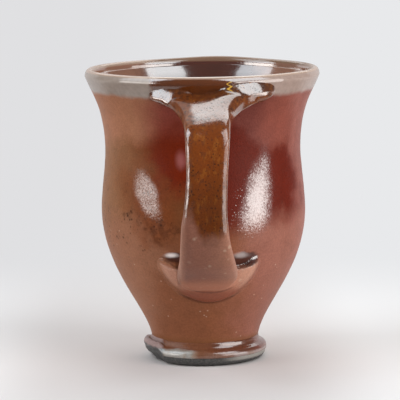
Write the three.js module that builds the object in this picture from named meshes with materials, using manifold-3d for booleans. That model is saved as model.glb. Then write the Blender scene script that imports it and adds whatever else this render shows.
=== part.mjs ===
// A wheel-thrown, wood-fired stoneware mug with a pulled strap handle.
// Millimetres, +Z up. The origin is the centre of the foot's flat underside; the handle points to -Y.
import * as THREE from 'three';
import { mergeVertices } from 'three/addons/utils/BufferGeometryUtils.js';
import Module from 'manifold-3d';

const wasm = await Module();
wasm.setup();

// Foot
const underRise = 2.6;          // rounding under the flange, upwards
const underRun = 3.4;           // the same rounding, inwards
const bareRise = 0.9;           // unglazed clay above the rounding
const beadRise = 2.5;           // flange under the glaze run
const neckStep = 2;             // top of the flange up to the joint under the neck
const flangeOverhang = 2.9;     // flange beyond the neck
const beadInset = 0.7;          // slope of the glaze run's seat at both of its edges
const beadThickness = 0.7;      // glaze gathered on the flange

// Thrown wall, as radii at four stations and the heights between them.
// What these heights leave of the mug's own is the rise from the neck to the belly.
const mugHeight = 117;          // table to the crest of the glazed lip
const neckRadius = 21.3;
const bellyRadius = 40.75;
const waistRadius = 39;
const rimRadius = 46.4;
const bellyToWaist = 24.5;
const waistToLip = 29.5;
const lipRise = 2.5;            // rounded edge above the widest part of the lip
const neckFlare = 1;            // outward lean of the wall as it leaves the neck
const rimFlare = 0.4;           // outward lean of the wall where it reaches the lip
const neckPull = 0.23;          // how far each station's direction carries, as a share of its stretch
const underBellyPull = 0.46;
const overBellyPull = 0.29;
const underWaistPull = 0.25;
const overWaistPull = 0.51;
const lipPull = 0.27;
const wallThickness = 4.2;
const lipThickness = 3;
const floorThickness = 5;

// Glaze coats
const glazeThickness = 0.5;
const rimBandDrop = 9;          // crest of the lip down to the band's lower edge
const bandFeather = 0.12;       // coat left at the band's lower edge

// Pulled strap
const gripWidth = 15.8;
const rootWidth = 20;
const tailWidth = 24;
const gripThickness = 6.4;
const rootThickness = 12;
const tailThickness = 7;
const widthFade = 0.35;         // share of the length where the root's width has eased off
const thicknessFade = 0.25;     // the same for its thickness
const tailStart = 0.4;          // share of the length where the tail starts to widen
const tailFull = 0.85;          // and where it is full
const rootDrop = 7;             // crest of the lip down to the middle of the root
const shoulderDrop = 16.5;      // crest of the lip down to the shoulder bend
const shoulderReach = 25.5;     // shoulder bend beyond the belly
const fingerGap = 30;           // clear space between belly and grip
const gripDrop = 12;            // outward bend of the grip below the middle between shoulder and heel
const heelInset = 11.5;         // heel bend nearer the wall than the grip
const heelRise = 10.5;          // heel bend above the tail
const tailRise = 27.5;          // middle of the tail above the foot

// Clay worked on at the two ends of the strap
const webSpan = 48;             // along the rim, tip to tip
const webThickness = 9;
const webRun = 0.36;            // share of the strap's length that the web follows
const webCurve = 2.2;           // how quickly the web draws in; 1 is a straight wedge
const webTuck = 1;              // narrow end of the web inside the strap's edge
const coilSpan = 33;            // across the crescent, between the middles of its tips
const coilDepth = 13;           // tips of the crescent above its lowest point
const coilHeight = 7.5;         // roll measured along the wall
const coilProud = 6.5;          // roll measured out of the wall
const coilTip = 0.7;            // tip size as a share of the middle
const coilSweep = 80;           // degrees of the crescent to each side
const barFullness = 2.6;        // 2 is an oval section, higher is nearer a rounded box
const slipJoint = 0.3;          // gap where two pieces of clay are luted

// Facets
const roundSegments = 48;
const curveSteps = 6;
const lipSteps = 6;
const edgeSteps = 4;
const barSides = 16;
const strapSteps = 32;
const webSteps = 12;
const coilSteps = 20;
const weld = 1e-4;

const bareTop = underRise + bareRise;
const flangeTop = bareTop + beadRise;
const footHeight = flangeTop + neckStep;
const lipHeight = mugHeight - glazeThickness - lipRise;
const waistHeight = lipHeight - waistToLip;
const bellyHeight = waistHeight - bellyToWaist;
const flankRise = bellyHeight - footHeight;
const floorTop = footHeight + floorThickness;
const bandBottom = mugHeight - rimBandDrop;
const lipLead = lipPull * waistToLip;

const at = (radius, height) => new THREE.Vector2(radius, height);

// Outside of the wall from the neck up to the widest part of the lip
function outsideWall() {
  const wall = new THREE.Path();
  wall.moveTo(neckRadius, footHeight);
  wall.bezierCurveTo(
    neckRadius + neckFlare, footHeight + neckPull * flankRise,
    bellyRadius, bellyHeight - underBellyPull * flankRise,
    bellyRadius, bellyHeight,
  );
  wall.bezierCurveTo(
    bellyRadius, bellyHeight + overBellyPull * bellyToWaist,
    waistRadius, waistHeight - underWaistPull * bellyToWaist,
    waistRadius, waistHeight,
  );
  wall.bezierCurveTo(
    waistRadius, waistHeight + overWaistPull * waistToLip,
    rimRadius - rimFlare * lipLead, lipHeight - lipLead,
    rimRadius, lipHeight,
  );
  return wall.getPoints(curveSteps);
}

// Inside of the wall from the lip down to the middle of the floor
function insideWall() {
  const lip = rimRadius - lipThickness;
  const waist = waistRadius - wallThickness;
  const belly = bellyRadius - wallThickness;
  const wall = new THREE.Path();
  wall.moveTo(lip, lipHeight);
  wall.bezierCurveTo(
    lip - rimFlare * lipLead, lipHeight - lipLead,
    waist, waistHeight + overWaistPull * waistToLip,
    waist, waistHeight,
  );
  wall.bezierCurveTo(
    waist, waistHeight - underWaistPull * bellyToWaist,
    belly, bellyHeight + overBellyPull * bellyToWaist,
    belly, bellyHeight,
  );
  wall.bezierCurveTo(
    belly, bellyHeight - underBellyPull * (bellyHeight - floorTop),
    neckRadius - wallThickness / 3, floorTop,
    0, floorTop,
  );
  return wall.getPoints(curveSteps);
}

// Half an ellipse over the lip, from its outer to its inner side
function lipEdge() {
  const edge = new THREE.Path();
  const middle = rimRadius - lipThickness / 2;
  edge.absellipse(middle, lipHeight, lipThickness / 2, lipRise, 0, Math.PI, false);
  return edge.getPoints(lipSteps).slice(1, -1);
}

// The outline moved sideways: to the right of its direction for a positive distance
function offsetOutline(points, distanceAt) {
  return points.map((point, i) => {
    const before = points[Math.max(i - 1, 0)];
    const after = points[Math.min(i + 1, points.length - 1)];
    const along = after.clone().sub(before).normalize();
    const moved = at(along.y, -along.x).multiplyScalar(distanceAt(i)).add(point);
    return point.x === 0 ? at(0, moved.y) : moved;
  });
}

const outside = outsideWall();
const inside = insideWall();
const lip = lipEdge();

function outsideRadius(height) {
  const upper = outside.findIndex((point) => point.y > height);
  const [below, above] = [outside[upper - 1], outside[upper]];
  return THREE.MathUtils.mapLinear(height, below.y, above.y, below.x, above.x);
}

function turned(outline) {
  return new THREE.LatheGeometry(outline, roundSegments).rotateX(Math.PI / 2);
}

function toSolid(geometry) {
  const bare = new THREE.BufferGeometry();
  bare.setAttribute('position', geometry.getAttribute('position'));
  bare.setIndex(geometry.getIndex());
  const merged = mergeVertices(bare, weld);
  const corners = merged.getIndex().array;
  const triVerts = [];
  for (let i = 0; i < corners.length; i += 3) {
    const [a, b, c] = corners.slice(i, i + 3);
    if (a !== b && b !== c && c !== a) triVerts.push(a, b, c);
  }
  return new wasm.Manifold(new wasm.Mesh({
    numProp: 3,
    vertProperties: merged.getAttribute('position').array,
    triVerts: Uint32Array.from(triVerts),
  }));
}

function toGeometry(solid) {
  const { vertProperties, triVerts } = solid.getMesh();
  const geometry = new THREE.BufferGeometry();
  geometry.setAttribute('position', new THREE.BufferAttribute(vertProperties, 3));
  geometry.setIndex(new THREE.BufferAttribute(triVerts, 1));
  geometry.computeVertexNormals();
  return geometry;
}

// Fills out a round section towards its corners
function squared(share) {
  return Math.sign(share) * Math.abs(share) ** (2 / barFullness);
}

// A closed bar along a curve, from its start to the share named by end.
// halfSize(t) gives its half width, along side(t), and its half thickness.
function sweep(curve, side, halfSize, steps, end = 1) {
  const bar = new THREE.CylinderGeometry(1, 1, 1, barSides, steps);
  const corner = bar.getAttribute('position');
  for (let i = 0; i < corner.count; i += 1) {
    const t = end * (0.5 - corner.getY(i));
    const across = side(t);
    const up = curve.getTangentAt(t).cross(across).normalize();
    const [halfWidth, halfThickness] = halfSize(t);
    const place = curve.getPointAt(t)
      .addScaledVector(across, squared(corner.getX(i)) * halfWidth)
      .addScaledVector(up, squared(corner.getZ(i)) * halfThickness);
    corner.setXYZ(i, place.x, place.y, place.z);
  }
  return toSolid(bar);
}

// Middle line of the strap, from inside the wall under the lip to inside the wall above the foot.
// It starts deep enough for the web's tips to reach the round wall.
const rootHeight = mugHeight - rootDrop;
const rootDepth = Math.sqrt(outsideRadius(rootHeight) ** 2 - (webSpan / 2) ** 2);
const shoulderHeight = mugHeight - shoulderDrop;
const tailHeight = footHeight + tailRise;
const heelHeight = tailHeight + heelRise;
const gripHeight = (shoulderHeight + heelHeight) / 2 - gripDrop;
const gripReach = bellyRadius + fingerGap + gripThickness / 2;
const strapLine = new THREE.CatmullRomCurve3([
  [rootDepth, rootHeight],
  [bellyRadius + shoulderReach, shoulderHeight],
  [gripReach, gripHeight],
  [gripReach - heelInset, heelHeight],
  [outsideRadius(tailHeight) - wallThickness / 2, tailHeight],
].map(([reach, height]) => new THREE.Vector3(0, -reach, height)));

// A size that eases from the root's to the grip's and on to the tail's
function alongStrap(root, grip, tail, rootFade, t) {
  const nearRoot = 1 - THREE.MathUtils.smoothstep(t, 0, rootFade);
  const nearTail = THREE.MathUtils.smoothstep(t, tailStart, tailFull);
  return grip + (root - grip) * nearRoot + (tail - grip) * nearTail;
}

const acrossStrap = () => new THREE.Vector3(1, 0, 0);

// The strap, with room left on its edges and on its faces when it is used to cut a neighbour
function strapBar(edgeRoom, faceRoom) {
  return sweep(strapLine, acrossStrap, (t) => [
    alongStrap(rootWidth, gripWidth, tailWidth, widthFade, t) / 2 + edgeRoom,
    alongStrap(rootThickness, gripThickness, tailThickness, thicknessFade, t) / 2 + faceRoom,
  ], strapSteps);
}

// Trumpet that spreads from inside the strap to the web's full span at the wall
function webBar(room) {
  const narrow = gripWidth / 2 - webTuck;
  const thin = gripThickness / 2 - webTuck;
  return sweep(strapLine, acrossStrap, (t) => {
    const spread = (1 - t / webRun) ** webCurve;
    return [
      THREE.MathUtils.lerp(narrow, webSpan / 2, spread) + room,
      THREE.MathUtils.lerp(thin, webThickness / 2, spread) + room,
    ];
  }, webSteps, webRun);
}

// Crescent roll that hugs the wall round the strap's tail
function coilBar() {
  const sweepAngle = THREE.MathUtils.degToRad(coilSweep);
  const lowest = tailHeight - tailThickness / 2;
  const points = [];
  for (let i = 0; i <= coilSteps; i += 1) {
    const angle = THREE.MathUtils.lerp(-sweepAngle, sweepAngle, i / coilSteps);
    const x = Math.sin(angle) * coilSpan / 2;
    const z = lowest + coilDepth * (1 - Math.cos(angle));
    points.push(new THREE.Vector3(x, -Math.sqrt(outsideRadius(z) ** 2 - x ** 2), z));
  }
  const line = new THREE.CatmullRomCurve3(points);
  const outward = (t) => line.getPointAt(t).setZ(0).normalize();
  return sweep(line, outward, (t) => {
    const size = THREE.MathUtils.lerp(coilTip, 1, Math.sin(Math.PI * t));
    return [coilProud * size, coilHeight / 2 * size];
  }, coilSteps);
}

// Everything inside the wall's outer face, with the luting gap added
function wallSpace() {
  const face = offsetOutline(outside, () => slipJoint);
  const [first, last] = [face[0], face[face.length - 1]];
  return toSolid(turned([at(0, 0), at(first.x, 0), ...face, at(last.x, mugHeight), at(0, mugHeight)]));
}

// The clay under the dipped band, from its lower edge over the crest to the inner side of the lip
function bandSeat() {
  const above = outside.filter((point) => point.y > bandBottom);
  return [at(outsideRadius(bandBottom), bandBottom), ...above, ...lip, inside[0]];
}

const finishes = {
  clay: { color: 0x8b5a42, roughness: 0.45 },
  strap: { color: 0x6f3f22, roughness: 0.3 },
  web: { color: 0x6a4027, roughness: 0.3 },
  coil: { color: 0x8f6049, roughness: 0.45 },
  foot: { color: 0x464545, roughness: 0.7 },
  liner: { color: 0x4f2f22, roughness: 0.15 },
  band: { color: 0x9b857b, roughness: 0.25 },
  bead: { color: 0x958e87, roughness: 0.3 },
};

const mug = new THREE.Group();

function place(name, geometry, finish) {
  const mesh = new THREE.Mesh(geometry, new THREE.MeshStandardMaterial({ ...finish, metalness: 0 }));
  mesh.name = name;
  mug.add(mesh);
}

const wall = wallSpace();
const strapRoom = strapBar(slipJoint, slipJoint);

// Thrown wall and floor
place('cup_body', turned([at(0, footHeight), ...outside, ...lip, ...inside]), finishes.clay);

// Flared foot: flat underneath, rounded and bare at the edge, with a seat for the glaze run
const flangeRadius = neckRadius + flangeOverhang;
const flatRadius = flangeRadius - underRun;
const footEdge = new THREE.Path();
footEdge.absellipse(flatRadius, underRise, underRun, underRise, -Math.PI / 2, 0, false);
const beadSeat = [
  at(flangeRadius, bareTop),
  at(flangeRadius - beadInset, flangeTop),
  at(neckRadius + beadInset, flangeTop),
];
place('foot_disc', turned([
  at(0, 0),
  ...footEdge.getPoints(edgeSteps),
  ...beadSeat,
  at(neckRadius, footHeight),
  at(0, footHeight),
]), finishes.foot);

// Glaze run: a bead lying on the flange
place('foot_glaze', turned([...beadSeat].reverse().concat(
  offsetOutline(beadSeat, () => beadThickness), [beadSeat[2]],
)), finishes.bead);

place('handle_strap', toGeometry(strapBar(0, 0).subtract(wall)), finishes.strap);

// Webs: the trumpet without the wall, parted by a slot as wide as the strap
const webs = webBar(0).subtract(strapBar(slipJoint, webThickness)).subtract(wall).decompose();
webs.sort((a, b) => a.boundingBox().min[0] - b.boundingBox().min[0]);
place('rim_web_left', toGeometry(webs[0]), finishes.web);
place('rim_web_right', toGeometry(webs[webs.length - 1]), finishes.web);

place('tail_coil', toGeometry(coilBar().subtract(strapRoom).subtract(wall)), finishes.coil);

// One coat of glaze over the lip and down the inside, parted at the inner side of the lip
const seat = bandSeat();
const edge = seat.length - 1;
const coat = offsetOutline([...seat, ...inside.slice(1)], (i) => (i === 0 ? bandFeather : glazeThickness));
place('liner_glaze', turned([...inside].reverse().concat(coat.slice(edge))), finishes.liner);

// The dipped band is opened where the handle's root lies on bare clay
const band = toSolid(turned([...seat].reverse().concat(coat.slice(0, edge + 1), [seat[edge]])));
place('rim_glaze', toGeometry(band.subtract(strapRoom).subtract(webBar(slipJoint))), finishes.band);

export default mug;
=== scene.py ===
import math
from bisect import bisect_left

import bmesh
import bpy
from mathutils import Matrix, Vector, noise
from mathutils.bvhtree import BVHTree
from mathutils.geometry import interpolate_bezier


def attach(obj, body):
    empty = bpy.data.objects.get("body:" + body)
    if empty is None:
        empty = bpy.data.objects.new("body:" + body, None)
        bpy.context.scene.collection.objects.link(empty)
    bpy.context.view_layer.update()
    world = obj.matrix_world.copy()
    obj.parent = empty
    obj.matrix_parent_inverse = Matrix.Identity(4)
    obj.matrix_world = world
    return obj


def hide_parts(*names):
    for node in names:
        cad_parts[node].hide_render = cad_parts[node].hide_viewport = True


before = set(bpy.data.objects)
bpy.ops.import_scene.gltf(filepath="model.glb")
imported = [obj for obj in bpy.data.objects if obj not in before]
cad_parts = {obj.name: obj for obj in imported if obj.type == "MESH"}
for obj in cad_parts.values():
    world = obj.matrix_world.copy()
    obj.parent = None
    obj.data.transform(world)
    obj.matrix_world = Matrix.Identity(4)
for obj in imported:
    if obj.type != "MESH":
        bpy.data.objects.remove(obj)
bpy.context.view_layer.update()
scene = bpy.context.scene
mm = 0.001  # every shape below is drawn in millimetres
weld = 1e-4  # points closer than this are one
handleAcross = 1.2  # the handle sits a little right of the middle
print("frame loaded:", len(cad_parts), "pieces")


class Paint:  # one socket, used in plain sums
    def __init__(self, finish, socket):
        self.finish, self.socket = finish, socket

    def sum(self, operation, first, second=0.0):
        return self.finish.add("ShaderNodeMath", {"operation": operation}, {0: first, 1: second})

    def __add__(self, other):
        return self.sum("ADD", self, other)

    def __radd__(self, other):
        return self.sum("ADD", other, self)

    def __sub__(self, other):
        return self.sum("SUBTRACT", self, other)

    def __rsub__(self, other):
        return self.sum("SUBTRACT", other, self)

    def __mul__(self, other):
        return self.sum("MULTIPLY", self, other)

    def __rmul__(self, other):
        return self.sum("MULTIPLY", other, self)

    def __pow__(self, other):
        return self.sum("POWER", self, other)

    def __abs__(self):
        return self.sum("ABSOLUTE", self)


class Finish:  # a material and the ways to paint it
    def __init__(self, name):
        self.material = bpy.data.materials.new(name)
        self.material.use_nodes = True
        self.tree = self.material.node_tree
        self.tree.nodes.clear()
        spot = self.add("ShaderNodeTexCoord", output="Object")
        self.place = self.add("ShaderNodeVectorMath", {"operation": "SCALE"}, {
            "Vector": spot, "Scale": 1 / mm})
        axes = self.add("ShaderNodeSeparateXYZ", links={"Vector": self.place}).socket.node.outputs
        self.x, self.y, self.z = (Paint(self, socket) for socket in axes)

    def add(self, kind, settings=None, links=None, output=None):
        node = self.tree.nodes.new(kind)
        for key, value in (settings or {}).items():
            setattr(node, key, value)
        for key, value in (links or {}).items():
            named = [s for s in node.inputs if s.enabled and s.name == key]
            socket = named[0] if named else node.inputs[key]
            if isinstance(value, Paint):
                self.tree.links.new(value.socket, socket)
            else:
                socket.default_value = value
        shown = [s for s in node.outputs if s.enabled]
        found = [s for s in shown if s.name == output] or shown[:1]
        return Paint(self, found[0]) if found else None

    def stretch(self, sizes):  # one unit of the pattern is this many millimetres
        steps = [1 / size for size in sizes]
        return self.add("ShaderNodeVectorMath", {"operation": "MULTIPLY"}, {0: self.place, 1: steps})

    def cloud(self, size, detail=2.0, rough=0.5):
        spot = self.stretch(size if isinstance(size, tuple) else (size, size, size))
        return self.add("ShaderNodeTexNoise", links={
            "Vector": spot, "Scale": 1.0, "Detail": detail, "Roughness": rough})

    def cells(self, size):
        spot = self.stretch((size, size, size))
        return self.add("ShaderNodeTexVoronoi", links={"Vector": spot, "Scale": 1.0}, output="Distance")

    def rise(self, value, none, full):  # 0 up to none, 1 from full on, eased between
        made = self.add("ShaderNodeMapRange", {"interpolation_type": "SMOOTHSTEP"}, {
            "Value": value, "From Min": min(none, full), "From Max": max(none, full)})
        return 1 - made if none > full else made

    def mix(self, share, first, second):  # a colour may be given by its name
        under, over = (flame[c] if isinstance(c, str) else c for c in (first, second))
        return self.add("ShaderNodeMix", {"data_type": "RGBA"}, {"Factor": share, "A": under, "B": over})

    def shade(self, colour, value):  # darkens or lightens a colour
        return self.add("ShaderNodeMix", {"data_type": "RGBA", "blend_type": "MULTIPLY"}, {
            "Factor": 1.0, "A": colour, "B": value})

    def offAxis(self):  # distance from the mug's axis
        flat = self.add("ShaderNodeVectorMath", {"operation": "MULTIPLY"}, {
            0: self.place, 1: (1.0, 1.0, 0.0)})
        return self.add("ShaderNodeVectorMath", {"operation": "LENGTH"}, {0: flat}, "Value")

    def stored(self, name):
        return self.add("ShaderNodeAttribute", {"attribute_name": name}, output="Fac")

    def close(self, colour, relief, gloss, wet):  # dry clay where gloss is 0, glass where it is 1
        bump = self.add("ShaderNodeBump", links={"Strength": 1.0, "Distance": mm, "Height": relief})
        surface = {"Base Color": colour, "Normal": bump}
        clay, glass = (self.add("ShaderNodeBsdfPrincipled", links={**surface, **kind})
                       for kind in (dryClay, wet))
        both = self.add("ShaderNodeMixShader", links={"Fac": gloss, 1: clay, 2: glass})
        self.add("ShaderNodeOutputMaterial", links={"Surface": both})
        return self.material


def tint(red, green, blue):  # a colour as a paint program shows it
    shown = [c / 255 for c in (red, green, blue)]
    return (*(c / 12.92 if c < 0.0404 else ((c + 0.055) / 1.055) ** 2.4 for c in shown), 1.0)


def setPiece(name, bm, material, slotName, *nodes):
    bmesh.ops.scale(bm, vec=(mm, mm, mm), verts=bm.verts[:])
    for face in bm.faces:
        face.smooth = True
    mesh = bpy.data.meshes.new(name)
    bm.to_mesh(mesh)
    bm.free()
    mesh.materials.append(material)
    piece = bpy.data.objects.new(name, mesh)
    scene.collection.objects.link(piece)
    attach(piece, "root")
    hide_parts(*nodes)
    print(name, "set:", len(mesh.polygons), "faces")


wall = {
    "neck": (21.3, 8.0), "belly": (40.75, 60.0), "waist": (39.0, 84.5), "lip": (46.4, 114.0),
    "neckFlare": 1.0, "rimFlare": 0.4,  # outward lean at the two ends
    "pulls": (0.23, 0.46, 0.29, 0.25, 0.51, 0.27),
    "thickness": 4.2, "lipThickness": 3.0, "lipRise": 2.5, "floor": 13.0,
    "steps": 40, "lipSteps": 14, "around": 192,
    "waves": (0.14, 0.9, 26), "rings": (0.05, 0.35, 3.1),  # depth, tightness round the wall, height
    "trueCentre": 12, "trueNeck": 12,  # how far out and up the wall stays truly round
    "hump": 0.8, "humpAt": 170.0,  # the lip rises a little opposite the handle
    "humpWide": 20, "humpFrom": 104, "humpFade": 10,
}


def upright(radius, height):
    return Vector((radius, 0.0, height))


def wallLine(inset, lipInset):  # from the neck to the lip, this far inside the outer face
    neck, belly, waist, lip = (wall[k] for k in ("neck", "belly", "waist", "lip"))
    pulls = wall["pulls"]
    flank, chest, throat = belly[1] - neck[1], waist[1] - belly[1], lip[1] - waist[1]
    lead = pulls[5] * throat
    runs = [
        (upright(neck[0] - inset, neck[1]),
         upright(neck[0] - inset + wall["neckFlare"], neck[1] + pulls[0] * flank),
         upright(belly[0] - inset, belly[1] - pulls[1] * flank), upright(belly[0] - inset, belly[1])),
        (upright(belly[0] - inset, belly[1]), upright(belly[0] - inset, belly[1] + pulls[2] * chest),
         upright(waist[0] - inset, waist[1] - pulls[3] * chest), upright(waist[0] - inset, waist[1])),
        (upright(waist[0] - inset, waist[1]), upright(waist[0] - inset, waist[1] + pulls[4] * throat),
         upright(lip[0] - lipInset - wall["rimFlare"] * lead, lip[1] - lead),
         upright(lip[0] - lipInset, lip[1])),
    ]
    if inset:  # the inside rounds down to the middle of the floor
        deep = belly[1] - wall["floor"]
        runs[0] = (upright(0, wall["floor"]), upright(neck[0] - inset / 3, wall["floor"]),
                   upright(belly[0] - inset, belly[1] - pulls[1] * deep), runs[0][3])
    points = []
    for run in runs:
        points += interpolate_bezier(*run, wall["steps"])[1 if points else 0:]
    return points


def lipLine():  # over the lip, from its outer to its inner side
    middle = upright(wall["lip"][0] - wall["lipThickness"] / 2, wall["lip"][1])
    turns = [math.pi * i / wall["lipSteps"] for i in range(1, wall["lipSteps"])]
    return [middle + upright(math.cos(t) * wall["lipThickness"] / 2, math.sin(t) * wall["lipRise"])
            for t in turns]


outside, inside, lip = wallLine(0, 0), wallLine(wall["thickness"], wall["lipThickness"]), lipLine()
skyline = outside + lip[:wall["lipSteps"] // 2]  # outer face up to the crest
levels = [p.z for p in skyline]


def wallRadius(height):
    height = min(max(height, skyline[0].z), skyline[-1].z)
    above = bisect_left(levels, height)
    low, high = skyline[max(above - 1, 0)], skyline[above]
    return low.x + (high.x - low.x) * (height - low.z) / max(high.z - low.z, weld)


def offsetLine(points, distance):  # to the right of the line's direction
    moved = []
    for i, point in enumerate(points):
        along = points[min(i + 1, len(points) - 1)] - points[max(i - 1, 0)]
        away = Vector((along.z, 0, -along.x)).normalized()
        moved.append(point + away * (distance(i) if callable(distance) else distance))
    return moved


def drawLine(points, closed=False):
    bm = bmesh.new()
    first = tip = bmesh.ops.create_vert(bm, co=points[0])["vert"][0]
    for point in points[1:]:
        tip = bmesh.ops.extrude_vert_indiv(bm, verts=[tip])["verts"][0]
        tip.co = point
    if closed:
        bm.edges.new((tip, first))
    return bm


def turn(points, closed=False):  # throws a line round the mug's axis
    bm = drawLine(points, closed)
    bmesh.ops.spin(bm, geom=bm.verts[:] + bm.edges[:], cent=(0, 0, 0), axis=(0, 0, 1), dvec=(0, 0, 0),
                   angle=math.tau, steps=wall["around"], use_merge=True)
    bmesh.ops.remove_doubles(bm, verts=bm.verts[:], dist=weld)
    bmesh.ops.recalc_face_normals(bm, faces=bm.faces[:])
    return bm


def bearing(point):  # degrees round from the handle, positive to the right
    return math.degrees(math.atan2(point.x, -point.y))


def limit(share):
    return min(1, max(0, share))


def eased(share):
    return share * share * (3 - 2 * share)


def unevenness(point):  # slow waves and finger rings left by the potter
    around = Vector((point.x, point.y, 0)).normalized()
    return sum(depth * noise.noise(Vector((around.x * tightness, around.y * tightness, point.z / height)))
               for depth, tightness, height in (wall["waves"], wall["rings"]))


def handThrown(bm):
    for vert in bm.verts:
        reach = vert.co.xy.length
        turned = (bearing(vert.co) - wall["humpAt"] + 180) % 360 - 180
        rimmed = limit((vert.co.z - wall["humpFrom"]) / wall["humpFade"])
        vert.co.z += wall["hump"] * rimmed * math.exp(-(turned / wall["humpWide"]) ** 2)
        if reach > wall["trueCentre"]:
            loose = min(1, (vert.co.z - wall["neck"][1]) / wall["trueNeck"])
            grow = 1 + unevenness(vert.co) * loose / reach
            vert.co.x *= grow
            vert.co.y *= grow


flame = {  # colours the kiln left, as they look in plain light, and some colours of painted highlights, reflection, sheen, light and shade, marked where they are used
    "deepRed": tint(94, 26, 11), "emberLeft": tint(112, 34, 8), "rustBrown": tint(121, 61, 27),
    "oliveBrown": tint(112, 64, 36), "oliveTan": tint(143, 98, 68), "upperRed": tint(140, 68, 56),
    "upperTan": tint(164, 110, 82), "upperRedShaded": tint(109, 55, 47), "upperBlush": tint(129, 69, 57),
    "lowerBrown": tint(133, 82, 56), "lowerPink": tint(141, 90, 76), "lowerTan": tint(150, 101, 76),
    "blush": tint(156, 100, 90), "rose": tint(186, 116, 114), "iron": tint(56, 29, 16),
    "ash": tint(196, 172, 150), "lavender": tint(159, 143, 132), "lavenderPink": tint(162, 140, 130),
    "crest": tint(176, 148, 130), "crestBack": tint(128, 98, 78), "gold": tint(226, 176, 70),
    "amber": tint(108, 51, 11), "amberDark": tint(84, 44, 22), "honey": tint(140, 82, 28),
    "mauve": tint(128, 84, 69), "tailTan": tint(150, 103, 84), "chinTan": tint(182, 124, 101),
    "wingLeft": tint(178, 128, 106), "wingRight": tint(176, 128, 107), "ledge": tint(134, 76, 56),
    "bareEdge": tint(170, 132, 116), "pool": tint(60, 30, 26), "glint": tint(246, 236, 234),
    "liner": tint(72, 40, 29), "linerRed": tint(92, 44, 32), "linerSide": tint(153, 108, 87),
    "char": tint(66, 66, 66), "charPale": tint(92, 90, 88), "rust": tint(120, 76, 46),
    "silver": tint(150, 146, 140), "silverPink": tint(152, 134, 130), "footAmber": tint(134, 92, 54),
    "footBrown": tint(98, 54, 36), "mugBrown": tint(112, 68, 46), "footLilac": tint(150, 127, 123),
    "footMauve": tint(142, 84, 80),
}
dryClay = {"IOR": 1.19, "Roughness": 0.45}
glassy = {"IOR": 2.5, "Roughness": 0.19}
linerGlass = {"IOR": 1.9, "Roughness": 0.15, "Coat Weight": 1.0, "Coat IOR": 1.9, "Coat Roughness": 0.09}
thickGlaze = {"IOR": 1.9, "Roughness": 0.14, "Coat Weight": 1.0, "Coat IOR": 1.9, "Coat Roughness": 0.08}

# Oval marks seen from the front: across, height, half width, half height, then where the mark begins and
# where it is full (1 is the oval's own line), how ragged it is, and for some how it leans and narrows.
spots = {
    # the flash spot marks a painted reflection beside the strap
    "besideCoil": (-18.4, 44.6, 6.6, 5.6, 1.2, 0.7, 1), "flash": (-9.4, 84.2, 2.6, 4.6, 1.2, 0.1, 0.5),
    # the pools are dark pooled glaze with painted shade in the pockets
    "leftShadedPool": (-11.4, 45.9, 4.8, 2.1, 1.2, 0.7, 1), "rightShadedPool": (13.8, 44.8, 6.8, 2.8, 1.2, 0.7, 1),
    # the two glints are painted highlights in the pockets
    "leftPaintedGlint": (-13.6, 46.9, 3.0, 1.2, 1.2, 0.3, 1), "rightPaintedGlint": (13.0, 46.6, 3.4, 1.5, 1.2, 0.2, 1),
    "leftShine": (-22.5, 69.8, 5.2, 11.0, 1.15, 0.55, 0.7, -0.33),
    "rightShine": (20.3, 67.4, 6.5, 19.5, 1.25, 0.1, 0.5, 0.17, 0.012),
    "sparks": (17.5, 64, 8.5, 15, 1.1, 0.7, 0, 0.17), "threadEnds": (9.6, 113.2, 2.6, 2.2, 1, 0.6, 0),
    "footSpot": (-2.6, 4.8, 3.0, 2.0, 1.3, 0.5, 2), "dullWeb": (19.6, 108.0, 5.5, 1.9, 1.2, 0.8, 0),
}
# A fade is a field with where it begins, where it is full and how ragged it is, or the name of a spot
# or of a share that the finish keeps. A coat is a colour, its strength and its fades, the lowest first.
fire = {
    "driftSize": 19, "patchSize": 5, "grainSize": 0.7, "pitSize": 2.6, "grainDeep": 0.075, "pitDeep": 0.05,
    "acrossDrift": 16, "acrossPatch": 4, "upDrift": 18, "upPatch": 6,  # how far clouds push the colours
    "left": ("across", -14, -28), "right": ("across", 3, 24), "front": ("y", -18, -34),
    "low": 53, "lowLift": (7, 6.5), "lowCrisp": (0.4, 0.8), "lowFade": (-9, 9),  # first left, then right
    "high": 88, "highDrop": (3.5, 3.4), "highCrisp": (0.8, 1), "highFade": (0, 16),
    "strapShade": (("across", 26, 14), ("across", 0, 6)), "strapShadeLift": 5, "rustUp": ("up", 70, 84), "rustLean": 9,
    "middle": [
        ("emberLeft", 1, ("across", 2, -10)), ("oliveBrown", 1, ("up", 78, 64), ("across", 4, -4)),
        ("rustBrown", 1, ("rusty", -9, -19)), ("oliveTan", 1, ("across", -22, -38))],
    "top": [
        ("upperBlush", 1, ("across", 16, 32)), ("upperRed", 1, ("across", 10, 2)), ("upperTan", 1, "left")],
    "bottom": [("lowerPink", 1, "right"), ("lowerTan", 1, "left")],
    "marks": [
        # the blush at the right edge is pink flashing with a painted sheen
        ("lowerTan", 0.75, "besideCoil", "front"), ("blush", 0.7, ("across", 32, 41)),
        ("iron", 0.7, (("cells", 1.7), 0.34, 0.12, 0.5), (("cloud", 8), 0.42, 0.6), ("across", 2, -12),
         ("up", 80, 70), ("up", 40, 56)),
        ("iron", 0.4, ("low", 0.02, 0.2), ("low", 0.7, 0.4), ("across", -2, -9), ("across", -40, -30),
         (("cloud", 2.4, 3), 0.42, 0.62)),
        ("ash", 0.45, (("cells", 3.4), 0.13, 0.07), (("cloud", 13), 0.45, 0.6), "low")],
    "grain": (0.72, 0.56), "patchy": 0.3,  # least light, and what the grain and the patches add
}
glass = {  # wood ash that melted on the wall
    "left": 0.44, "right": ("rightShine", ("x", 28.6, 24.6), ("z", 50, 63, 8)), "soft": 0.35,
    "grain": 1.5, "grainIn": (0, 0.3), "grainCalm": 0.35, "grainRight": ("x", -8, 8), "grainy": (0.05, 1.15),
    "sparks": ((("cells", 1.0), 0.3, 0.12), "sparks", "front"), "spark": 0.6,
}
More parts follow.
